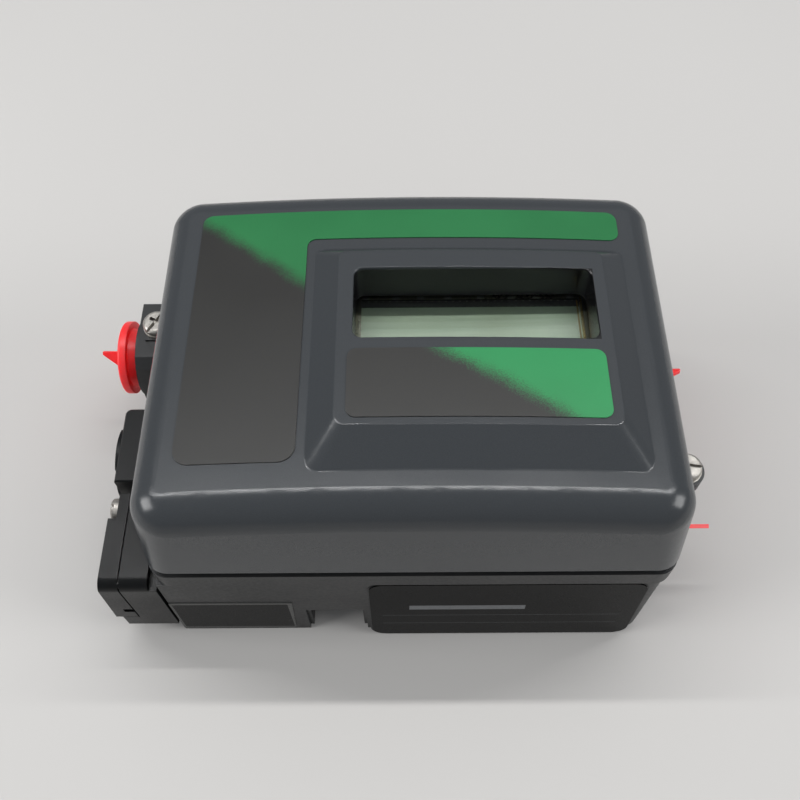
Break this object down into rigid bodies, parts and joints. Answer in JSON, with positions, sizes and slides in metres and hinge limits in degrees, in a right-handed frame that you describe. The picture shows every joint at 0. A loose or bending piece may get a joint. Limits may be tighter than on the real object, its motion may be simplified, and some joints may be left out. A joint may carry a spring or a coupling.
{
  "type": "digital valve controller",
  "caption": "Wall or actuator mounted electronic valve controller: cast housing, crowned lift-off cover with display window, pneumatic side blocks and plugged ports.",
  "frame": {"origin": "centre of the casting's back mounting face, on the face", "axes": "+Z out through the cover, +Y to the top of the instrument, +X to its right as read from the front"},
  "size_m": [0.2166, 0.1319, 0.0976],
  "materials": {
    "casting_paint": "semi-matte black powder coat on cast aluminium",
    "cover_paint": "satin slate-grey enamel with a fine texture",
    "label_film": "printed polyester overlay, charcoal fading to green",
    "bezel_film": "printed polyester overlay, charcoal fading to green",
    "plate_film": "dark satin marking film with blank fields",
    "clear_window": "clear polished pane",
    "black_rubber": "matte nitrile rubber",
    "red_polyethylene": "soft translucent red polyethylene",
    "zinc_steel": "zinc plated steel, lightly worn",
    "stainless": "stainless steel",
    "anodised": "black anodised aluminium, satin",
    "bare_aluminium": "machined aluminium",
    "green_board": "solder-masked glass-epoxy board",
    "black_plastic": "moulded glass-filled nylon",
    "grey_plastic": "moulded polycarbonate",
    "white_plastic": "moulded white plastic",
    "lcd_grey_green": "reflective liquid crystal cell, grey-green",
    "tinned_bezel": "tinned steel display frame",
    "copper_winding": "enamelled copper wire",
    "brass": "turned brass",
    "clear_diaphragm": "fabric-reinforced rubber diaphragm"
  },
  "bodies": {
    "housing": {"approval_plate": "plate_film", "bay_screws": "zinc_steel", "blanking_plate": "anodised", "block_screws": "stainless", "board_components": "black_plastic", "board_header": "black_plastic", "board_screws": "zinc_steel", "carrier_standoffs": "brass", "conduit_boss": "casting_paint", "cover_gasket": "black_rubber", "cover_screws": "stainless", "display_board": "green_board", "display_carrier": "black_plastic", "earth_screw_left": "zinc_steel", "earth_screw_right": "zinc_steel", "earth_washers": "zinc_steel", "flapper_pin": "stainless", "housing_body": "casting_paint", "ip_bracket": "bare_aluminium", "ip_coil": "copper_winding", "ip_core": "zinc_steel", "ip_nozzle": "brass", "ip_yoke": "zinc_steel", "key_switches": "black_plastic", "lcd_backlight": "white_plastic", "lcd_frame": "tinned_bezel", "lcd_glass": "lcd_grey_green", "main_board": "green_board", "manifold_plate": "anodised", "manifold_seal": "black_rubber", "mode_switch_body": "black_plastic", "pneumatic_base": "bare_aluminium", "port_block": "anodised", "rating_plate": "plate_film", "relay_body": "bare_aluminium", "relay_cap": "bare_aluminium", "relay_diaphragm": "clear_diaphragm", "relay_screws": "stainless", "relay_spring": "stainless", "terminal_screws": "zinc_steel", "terminal_strip": "grey_plastic", "test_screw": "zinc_steel", "travel_sensor": "black_plastic", "vent_cap": "black_plastic", "vent_strip": "grey_plastic"},
    "cover": {"cover_shell": "cover_paint", "window_pane": "clear_window", "window_seal": "black_rubber", "cover_label": "label_film", "bezel_label": "bezel_film"},
    "flapper": {"ip_flapper": "stainless"},
    "poppet": {"relay_poppet": "brass"},
    "key_left_cap": {"key_left": "grey_plastic"},
    "key_down_cap": {"key_down": "grey_plastic"},
    "key_up_cap": {"key_up": "grey_plastic"},
    "key_right_cap": {"key_right": "grey_plastic"},
    "mode_slider": {"mode_switch_slider": "white_plastic"},
    "plug_left": {"port_plug_left": "red_polyethylene"},
    "plug_right_upper": {"port_plug_right_upper": "red_polyethylene"},
    "plug_right_lower": {"port_plug_right_lower": "red_polyethylene"}
  },
  "joints": [
    {"name": "cover_lift", "type": "slide", "parent": "housing", "child": "cover", "axis": [0, 0, 1], "range_m": [0, 0.07]},
    {"name": "flapper_tilt", "type": "hinge", "parent": "housing", "child": "flapper", "pos_m": [-0.0703, -0.0185, 0.0442], "axis": [0, 1, 0], "range_deg": [-1.5, 2.4], "stiffness_Nm_per_rad": 0.1},
    {"name": "relay_stroke", "type": "slide", "parent": "housing", "child": "poppet", "axis": [0, 0, -1], "range_m": [0, 0.001], "stiffness_N_per_m": 200, "deforming": ["relay_spring"]},
    {"name": "mode_switch_slide", "type": "slide", "parent": "housing", "child": "mode_slider", "axis": [1, 0, 0], "range_m": [0, 0.0046]},
    {"name": "plug_left_pull", "type": "slide", "parent": "housing", "child": "plug_left", "axis": [-1, 0, 0], "range_m": [0, 0.025]},
    {"name": "plug_right_upper_pull", "type": "slide", "parent": "housing", "child": "plug_right_upper", "axis": [1, 0, 0], "range_m": [0, 0.025]},
    {"name": "plug_right_lower_pull", "type": "slide", "parent": "housing", "child": "plug_right_lower", "axis": [1, 0, 0], "range_m": [0, 0.025]},
    {"name": "key_left_press", "type": "slide", "parent": "housing", "child": "key_left_cap", "axis": [0, 0, -1], "range_m": [0, 0.0008], "stiffness_N_per_m": 400},
    {"name": "key_down_press", "type": "slide", "parent": "housing", "child": "key_down_cap", "axis": [0, 0, -1], "range_m": [0, 0.0008], "stiffness_N_per_m": 400},
    {"name": "key_up_press", "type": "slide", "parent": "housing", "child": "key_up_cap", "axis": [0, 0, -1], "range_m": [0, 0.0008], "stiffness_N_per_m": 400},
    {"name": "key_right_press", "type": "slide", "parent": "housing", "child": "key_right_cap", "axis": [0, 0, -1], "range_m": [0, 0.0008], "stiffness_N_per_m": 400}
  ]
}
